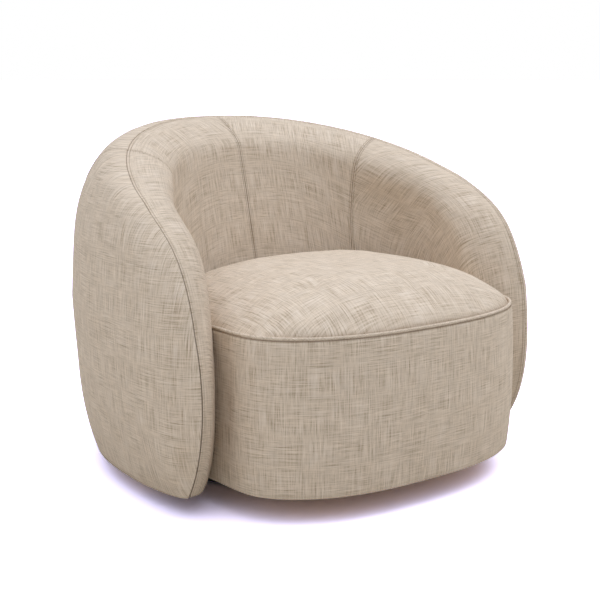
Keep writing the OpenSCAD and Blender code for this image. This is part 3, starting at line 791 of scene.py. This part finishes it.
def buildWelt(material):
    # a cord in a bias strip of the same cloth
    line = sideRun(welt["inset"], welt["points"])

    def place(i, j):
        before, after = line[max(0, i - 1)], line[min(len(line) - 1, i + 1)]
        along = (after - before).normalized()
        out = Vector((along.y, -along.x, 0))
        a = 2 * pi * j / welt["sides"]
        r = welt["radius"] + welt["lump"] * noise.noise(Vector((i / welt["lumpLength"], cos(a), sin(a))))
        p = line[i] + out * r * cos(a)
        wander = welt["wander"] * noise.noise(Vector((i / welt["wanderLength"], 0, 9)))
        p.z = seat["welt"] + r * sin(a) + wander
        return p

    def cloth(i, j):
        along, around = i * welt["along"], j * welt["around"]
        return along + around + welt["cloth"], around - along

    bm = gridMesh(welt["points"], welt["sides"] + 1, place, cloth)
    bmesh.ops.remove_doubles(bm, verts=bm.verts, dist=1e-6)
    bmesh.ops.holes_fill(bm, edges=[e for e in bm.edges if e.is_boundary], sides=0)
    bmesh.ops.recalc_face_normals(bm, faces=bm.faces)
    finishPiece(bm, "seatWelt", material, "seat_welt", 1)


def colour(text):
    # an sRGB hex value as the linear colour that shaders want
    parts = [int(text[i : i + 2], 16) / 255 for i in (1, 3, 5)]
    return tuple(c / 12.92 if c <= 0.04045 else ((c + 0.055) / 1.055) ** 2.4 for c in parts) + (1,)


def addNode(tree, kind, inputs=None, stops=None, **settings):
    # one node: its settings, the stops of a ramp, and its inputs as values or links
    item = tree.nodes.new("ShaderNode" + kind)
    for key, value in settings.items():
        setattr(item, key, value)
    if stops:
        ramp = item.color_ramp.elements
        ramp.remove(ramp[1])
        for k, (place, text) in enumerate(stops):
            element = ramp.new(place) if k else ramp[0]
            element.position = place
            element.color = colour(text)
    for key, value in (inputs or {}).items():
        if isinstance(value, bpy.types.Node):
            value = value.outputs[0]
        if isinstance(value, bpy.types.NodeSocket):
            tree.links.new(value, item.inputs[key])
        else:
            item.inputs[key].default_value = value
    return item


def newMaterial(name):
    item = bpy.data.materials.new(name)
    item.use_nodes = True
    item.node_tree.nodes.clear()
    return item, item.node_tree


def finishMaterial(item, tree, base, height=None, depth=0.1, strength=1, **inputs):
    # depth is in millimetres
    values = {key.replace("_", " "): value for key, value in inputs.items()}
    if height is not None:
        relief = {"Strength": strength, "Distance": depth * mm, "Height": height}
        values["Normal"] = addNode(tree, "Bump", relief)
    surface = addNode(tree, "BsdfPrincipled", {"Base Color": base, **values})
    addNode(tree, "OutputMaterial", {"Surface": surface})
    return item


linen = {
    "slub": "#A28D74",  # thicker, darker threads
    "base": "#D5C2AA",
    "pale": "#E4D5C3",
    "threadAndSeamShade": "#735A42",  # colour of the painted shade in the bottom of a seam, and of the thread between stitches
    "slubWide": 2.1,  # mm, drawn coarser than the threads so that it shows from a step away
    "slubLong": 62,
    "pitch": 1.3,  # mm from thread to thread
    "cloud": 24,
    "patch": 60,
    "levelRange": {"From Min": 0.4, "From Max": 0.65, "To Min": 0.25, "To Max": 0.7},
    "yarnRange": {"From Min": 0.3, "From Max": 0.7},
    "cloudRange": {"From Min": 0.3, "From Max": 0.7, "To Min": 0.93, "To Max": 1.05},
    "seamShade": 0.58,  # how much of that painted seam shade and thread colour shows there
    "relief": 0.22,  # mm
    "roughness": 0.92,
}


def makeLinen():
    # linen weave of uneven slub yarn: streaky both ways, dull and dry to the eye, with a faint bloom at
    # grazing angles
    item, tree = newMaterial("oatmealLinenWeave")
    cloth = addNode(tree, "UVMap", uv_map="cloth")
    wide, long = 1 / (linen["slubWide"] * mm), 1 / (linen["slubLong"] * mm)
    streaks = []
    for scale, offset in (((wide, long, 1), 0), ((long, wide, 1), 3.7)):
        place = addNode(tree, "Mapping", {"Vector": cloth, "Scale": scale, "Location": (offset, offset, 0)})
        streaks.append(addNode(tree, "TexNoise", {"Vector": place, "Scale": 1, "Detail": 3, "Roughness": 0.7}))
    # in some patches the upright threads lie on top, in others the level ones
    patch = addNode(tree, "TexNoise", {"Vector": cloth, "Scale": 1 / (linen["patch"] * mm), "Detail": 2})
    level = addNode(tree, "MapRange", {"Value": patch, **linen["levelRange"]})
    both = addNode(tree, "Mix", {0: level, 2: streaks[0], 3: streaks[1]})
    spread = addNode(tree, "MapRange", {"Value": both, **linen["yarnRange"]})
    stops = [(0.12, linen["slub"]), (0.5, linen["base"]), (0.9, linen["pale"])]
    yarn = addNode(tree, "ValToRGB", {"Fac": spread}, stops=stops)
    # the cloth is a little lighter and darker in clouds
    scale = 1 / (linen["cloud"] * mm)
    cloud = addNode(tree, "TexNoise", {"Vector": cloth, "Scale": scale, "Detail": 3, "Roughness": 0.6})
    shade = addNode(tree, "MapRange", {"Value": cloud, **linen["cloudRange"]})
    dyedAndSeamShaded = addNode(tree, "VectorMath", {0: yarn, 1: shade}, operation="MULTIPLY")
    # painted shade in the ditches of the seams and under the welt, mixed with the stitches' thread colour;
    # depth is how much of it shows
    seamShadeAndStitches = addNode(tree, "Attribute", attribute_name="seamShadeAndStitches").outputs["Fac"]
    depth = addNode(tree, "Math", {0: seamShadeAndStitches, 1: linen["seamShade"]}, operation="MULTIPLY")
    dyedAndSeamShaded = addNode(tree, "Mix", {0: depth, 6: dyedAndSeamShaded, 7: colour(linen["threadAndSeamShade"])}, data_type="RGBA").outputs[2]
    # plain weave: each thread rises over the next and dips under the one after it
    turns = addNode(tree, "VectorMath", {0: cloth, "Scale": pi / (linen["pitch"] * mm)}, operation="SCALE")
    waves = addNode(tree, "VectorMath", {0: turns}, operation="SINE")
    axes = addNode(tree, "SeparateXYZ", {0: waves})
    weave = addNode(tree, "Math", {0: axes.outputs[0], 1: axes.outputs[1]}, operation="MULTIPLY")
    high = addNode(tree, "Math", {0: spread, 1: 0.5, 2: weave}, operation="MULTIPLY_ADD")
    return finishMaterial(
        item, tree, dyedAndSeamShaded, high, linen["relief"], 0.8,
        Roughness=linen["roughness"], IOR=1.46, Specular_IOR_Level=0.25,
        Sheen_Weight=0.25, Sheen_Roughness=0.5, Sheen_Tint=colour(linen["pale"]),
    )


plywood = {
    "pale": "#D9BC8C",
    "grain": "#B08A57",
    "ply": "#8F6B40",
    "grainWide": 2.2,  # mm
    "grainLong": 90,
    "plyThick": 1.5,
}


def makePlywood():
    # raw birch plywood, sanded: pale satin wood, with darker glue lines between the plies on cut edges
    item, tree = newMaterial("rawBirchPlywood")
    place = addNode(tree, "TexCoord").outputs["Object"]
    along, across = 1 / (plywood["grainLong"] * mm), 1 / (plywood["grainWide"] * mm)
    drawn = addNode(tree, "Mapping", {"Vector": place, "Scale": (along, across, across)})
    look = {"Scale": 1, "Detail": 4, "Roughness": 0.6, "Distortion": 0.4}
    grain = addNode(tree, "TexNoise", {"Vector": drawn, **look})
    stops = [(0.3, plywood["grain"]), (0.55, plywood["pale"])]
    colours = addNode(tree, "ValToRGB", {"Fac": grain}, stops=stops)
    height = addNode(tree, "SeparateXYZ", {0: place}).outputs[2]
    plies = addNode(tree, "Math", {0: height, 1: pi / (plywood["plyThick"] * mm)}, operation="MULTIPLY")
    lines = addNode(tree, "Math", {0: plies}, operation="SINE")
    edge = addNode(tree, "MapRange", {"Value": lines, "From Min": 0.9, "From Max": 1.0, "To Max": 0.35})
    stained = addNode(tree, "Mix", {0: edge, 6: colours, 7: colour(plywood["ply"])}, data_type="RGBA")
    return finishMaterial(item, tree, stained.outputs[2], grain, 0.08, Roughness=0.62, IOR=1.5)


# grain in millimetres
metals = {
    "zinc": {
        "name": "zincPlatedSteel", "dark": "#9FA5AB", "pale": "#C6CBD0", "grain": 3, "roughness": (0.28, 0.42),
    },
    "wire": {
        "name": "drawnSpringWire", "dark": "#3C3B3D", "pale": "#5E5D60", "grain": 6, "roughness": (0.3, 0.5),
    },
}


def makeMetal(kind):
    # plated sheet or drawn wire: grey metal whose gloss varies softly with handling and oil
    spec = metals[kind]
    item, tree = newMaterial(spec["name"])
    place = addNode(tree, "TexCoord").outputs["Object"]
    spots = addNode(tree, "TexNoise", {"Vector": place, "Scale": 1 / (spec["grain"] * mm), "Detail": 4})
    colours = addNode(tree, "ValToRGB", {"Fac": spots}, stops=[(0.35, spec["dark"]), (0.65, spec["pale"])])
    low, high = spec["roughness"]
    gloss = addNode(tree, "MapRange", {"Value": spots, "To Min": low, "To Max": high})
    return finishMaterial(item, tree, colours, spots, 0.01, Metallic=1, Roughness=gloss)


# grain and relief in millimetres
plains = {
    "lacquer": {
        "name": "satinBlackLacquer", "dark": "#0D0C0D", "pale": "#171517", "grain": 1.2, "relief": 0.03,
        "roughness": 0.38,
    },
    "glide": {
        "name": "pressedFeltPad", "dark": "#1B1A1A", "pale": "#393635", "grain": 0.6, "relief": 0.2,
        "roughness": 0.96,
    },
    "felt": {
        "name": "needledFelt", "dark": "#4A4744", "pale": "#6D6965", "grain": 1.5, "relief": 0.4,
        "roughness": 0.97,
    },
    "foam": {
        "name": "cutPolyurethaneFoam", "dark": "#D9CCA8", "pale": "#EFE6CB", "grain": 0.8, "relief": 0.35,
        "roughness": 0.95,
    },
    "nylon": {
        "name": "mouldedNylon", "dark": "#CFC9B8", "pale": "#DCD7C9", "grain": 5, "relief": 0.01,
        "roughness": 0.42,
    },
    "strap": {
        "name": "wovenElasticStrap", "dark": "#18181A", "pale": "#34343A", "grain": 1.4, "relief": 0.3,
        "roughness": 0.85,
    },
}


def makePlain(kind):
    # lacquer, pads, felt, cut foam, moulded nylon and straps differ in grain, relief and gloss
    spec = plains[kind]
    item, tree = newMaterial(spec["name"])
    place = addNode(tree, "TexCoord").outputs["Object"]
    scale = 1 / (spec["grain"] * mm)
    grain = addNode(tree, "TexNoise", {"Vector": place, "Scale": scale, "Detail": 4, "Roughness": 0.65})
    colours = addNode(tree, "ValToRGB", {"Fac": grain}, stops=[(0.35, spec["dark"]), (0.65, spec["pale"])])
    return finishMaterial(item, tree, colours, grain, spec["relief"], Roughness=spec["roughness"], IOR=1.5)


slotMaterials = {
    "linen": makeLinen(),
    "plywood": makePlywood(),
    "zinc_steel": makeMetal("zinc"),
    "spring_steel": makeMetal("wire"),
    "black_lacquer": makePlain("lacquer"),
    "glide_felt": makePlain("glide"),
    "felt": makePlain("felt"),
    "foam": makePlain("foam"),
    "nylon": makePlain("nylon"),
    "strap": makePlain("strap"),
}
for row in frame["record"]["subparts"]:
    piece, finish = frame["nodes"][row["node"]], slotMaterials[row["material_slot"]]
    for place in piece.material_slots:
        place.material = finish
    if not piece.material_slots:
        piece.data.materials.append(finish)
print("materials made")

cover = slotMaterials["linen"]
side = shell["sideSeam"]
outerLook = {
    "surface": outerAt,
    "inner": False,
    "rows": 46,
    "facing": outward,
    "cloth": outerCloth,
    "padding": 7,
    "fill": 0.7,
}
innerLook = {
    "surface": innerAt,
    "inner": True,
    "rows": 44,
    "facing": towardsSitter,
    "cloth": innerCloth,
    "padding": 10,
    "fill": 0.9,
}
halfBack = columnShares(0, side, count=44, sewnStart=False, sewnEnd=True)
wholeBack = [-s for s in reversed(halfBack[1:])] + halfBack
backEnds = {"sewnStart": True, "sewnEnd": True}
armEnds = {"sewnStart": True, "sewnEnd": False}
outerArmShares = columnShares(side, shell["outerTip"], count=84, **armEnds)
innerBackShares = columnShares(0, side, count=40, **backEnds)
innerArmShares = columnShares(side, 1, count=84, **armEnds)
outerBack = {**outerLook, **backEnds, "shares": wholeBack, "node": "outer_back", "seed": 1}
sewnPanel("outerBackCover", outerBack, cover)
outerArm = {**outerLook, **armEnds, "shares": outerArmShares, "seed": 2}
innerBack = {**innerLook, **backEnds, "shares": innerBackShares, "seed": 3}
innerArm = {**innerLook, **armEnds, "shares": innerArmShares, "seed": 4}
for name, way in (("Left", -1), ("Right", 1)):
    low = name.lower()
    sewnPanel("outerArmCover" + name, {**outerArm, "node": "outer_arm_" + low}, cover, way)
    sewnPanel("innerBackPad" + name, {**innerBack, "node": "inner_back_" + low}, cover, way)
    sewnPanel("innerArmPad" + name, {**innerArm, "node": "inner_arm_" + low}, cover, way)
print("shell covers sewn")
buildCrown(cover)
buildBand(cover)
buildWelt(cover)
print("seat covered")

# the studio: a pale floor that keeps the shadow, a white surround, soft light from above and the right
studio = {
    "floor": "#D9D3C9",
    "floorRadius": 60,  # m
    "shadowTint": "#EDE3F8",
    "lift": 2.3,  # only for the camera, so that the clear floor is white
    "sky": 2.6,
    "skyTint": "#EAF1FF",
    "skyPower": 2.4,  # how fast the surround darkens from overhead to the horizon
    "horizon": 0.2,
}
# place, diameter and power of the soft lamps
lamps = {
    "keyLamp": ((2.2, -1.0, 2.6), 1.8, 18),
    "fillLamp": ((-2.7, -0.5, 1.7), 2.0, 6),
}
lampTarget = (0, 0, 0.4)


def buildFloor():
    bm = bmesh.new()
    bmesh.ops.create_circle(bm, cap_ends=True, segments=96, radius=studio["floorRadius"])
    mesh = bpy.data.meshes.new("studioFloor")
    bm.to_mesh(mesh)
    bm.free()
    floor = bpy.data.objects.new("studioFloor", mesh)
    bpy.context.scene.collection.objects.link(floor)
    item, tree = newMaterial("paleStudioFloor")
    seen = addNode(tree, "LightPath").outputs["Is Camera Ray"]
    lifted = tuple(c * studio["lift"] for c in colour(studio["shadowTint"])[:3]) + (1,)
    shade = addNode(tree, "Mix", {0: seen, 6: colour(studio["floor"]), 7: lifted}, data_type="RGBA")
    surface = addNode(tree, "BsdfDiffuse", {"Color": shade.outputs[2]})
    addNode(tree, "OutputMaterial", {"Surface": surface})
    mesh.materials.append(item)


def buildWorld():
    world = bpy.data.worlds.new("studio")
    world.use_nodes = True
    tree = world.node_tree
    tree.nodes.clear()
    rays = addNode(tree, "LightPath").outputs
    seen = addNode(tree, "Math", {0: rays["Is Camera Ray"], 1: rays["Is Glossy Ray"]}, operation="MAXIMUM")
    seen = addNode(tree, "Math", {0: seen, 1: rays["Is Transmission Ray"]}, operation="MAXIMUM")
    up = addNode(tree, "SeparateXYZ", {0: addNode(tree, "TexCoord").outputs["Generated"]}).outputs[2]
    above = addNode(tree, "Math", {0: up, 1: 0.0}, operation="MAXIMUM")
    height = addNode(tree, "Math", {0: above, 1: studio["skyPower"]}, operation="POWER")
    level = addNode(tree, "MapRange", {"Value": height, "To Min": studio["horizon"], "To Max": studio["sky"]})
    strength = addNode(tree, "Mix", {0: seen, 2: level, 3: 1.0})
    tint = addNode(tree, "Mix", {0: seen, 6: colour(studio["skyTint"]), 7: (1, 1, 1, 1)}, data_type="RGBA")
    shine = addNode(tree, "Background", {"Color": tint.outputs[2], "Strength": strength})
    addNode(tree, "OutputWorld", {"Surface": shine})
    bpy.context.scene.world = world


def buildLamp(name, place, size, power):
    data = bpy.data.lights.new(name, "AREA")
    data.shape = "DISK"
    data.size = size
    data.energy = power
    lamp = bpy.data.objects.new(name, data)
    lamp.location = place
    lamp.rotation_euler = (Vector(place) - Vector(lampTarget)).to_track_quat("Z", "Y").to_euler()
    bpy.context.scene.collection.objects.link(lamp)


buildFloor()
buildWorld()
for name, values in lamps.items():
    buildLamp(name, *values)
bpy.context.scene.view_settings.view_transform = "Standard"
print("studio set")
